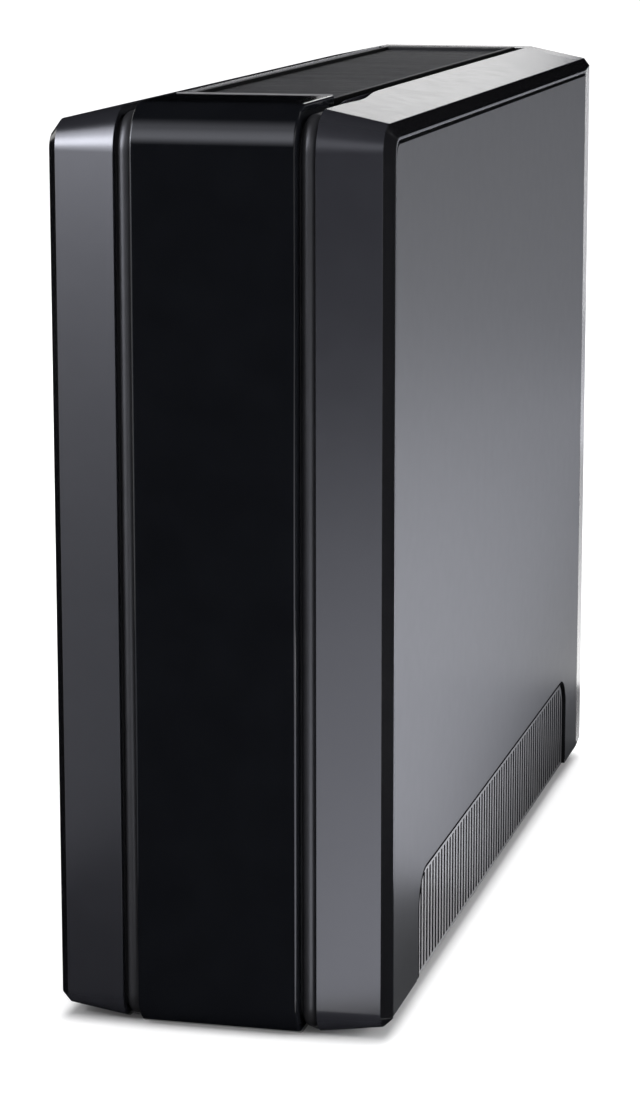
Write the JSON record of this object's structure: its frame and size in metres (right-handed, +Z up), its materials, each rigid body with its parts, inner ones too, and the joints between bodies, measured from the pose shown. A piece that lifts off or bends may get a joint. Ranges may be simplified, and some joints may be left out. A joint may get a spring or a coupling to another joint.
{
  "type": "ups battery pack",
  "caption": "Tower battery pack for a UPS: black moulded case with a glossy centre panel, louvred top, ribbed side vents, sliding battery cover and a rear DC socket.",
  "frame": {"origin": "on the floor under the middle of the case", "axes": "+Z up, -Y out of the front panel, +X out of the battery cover"},
  "size_m": [0.112, 0.382, 0.301],
  "materials": {
    "shell_black": "satin moulded black",
    "side_black": "fine matt texture, black",
    "panel_gloss": "piano gloss black",
    "grille_grey": "matt dark grey",
    "frame_black": "plain moulded black",
    "rear_painted": "powder coated black",
    "screw_steel": "blackened steel",
    "socket_grey": "plain moulded grey",
    "contact_brass": "bare contact metal",
    "foot_rubber": "soft black rubber",
    "battery_case": "moulded dark grey",
    "tab_tin": "tin plated",
    "sleeve_vinyl": "soft vinyl",
    "strap_film": "clear to white film",
    "board_green": "solder mask green",
    "fuse_orange": "tinted plastic",
    "lead_red": "insulation",
    "lead_black": "insulation"
  },
  "bodies": {
    "housing": {"battery_cradle": "frame_black", "blade_fuse": "fuse_orange", "centre_frame": "frame_black", "dc_contacts": "contact_brass", "dc_socket": "socket_grey", "front_lower_battery": "battery_case", "front_negative_lead": "lead_black", "front_panel": "panel_gloss", "front_positive_lead": "lead_red", "front_pull_strap": "strap_film", "front_series_link": "lead_black", "front_upper_battery": "battery_case", "fuse_block": "frame_black", "fuse_board": "board_green", "left_groove_trim": "panel_gloss", "left_shell": "shell_black", "left_side_panel": "side_black", "output_negative_lead": "lead_black", "output_positive_lead": "lead_red", "rear_bezel": "shell_black", "rear_lower_battery": "battery_case", "rear_negative_lead": "lead_black", "rear_panel": "rear_painted", "rear_positive_lead": "lead_red", "rear_pull_strap": "strap_film", "rear_screws": "screw_steel", "rear_series_link": "lead_black", "rear_upper_battery": "battery_case", "right_groove_trim": "panel_gloss", "right_shell": "shell_black", "rubber_feet": "foot_rubber", "terminal_sleeves": "sleeve_vinyl", "terminal_tabs": "tab_tin", "top_grille": "grille_grey"},
    "battery_cover": {"battery_cover": "side_black"}
  },
  "joints": [
    {"name": "cover_slide", "type": "slide", "parent": "housing", "child": "battery_cover", "axis": [0, 0, -1], "range_m": [0, 0.006]}
  ]
}
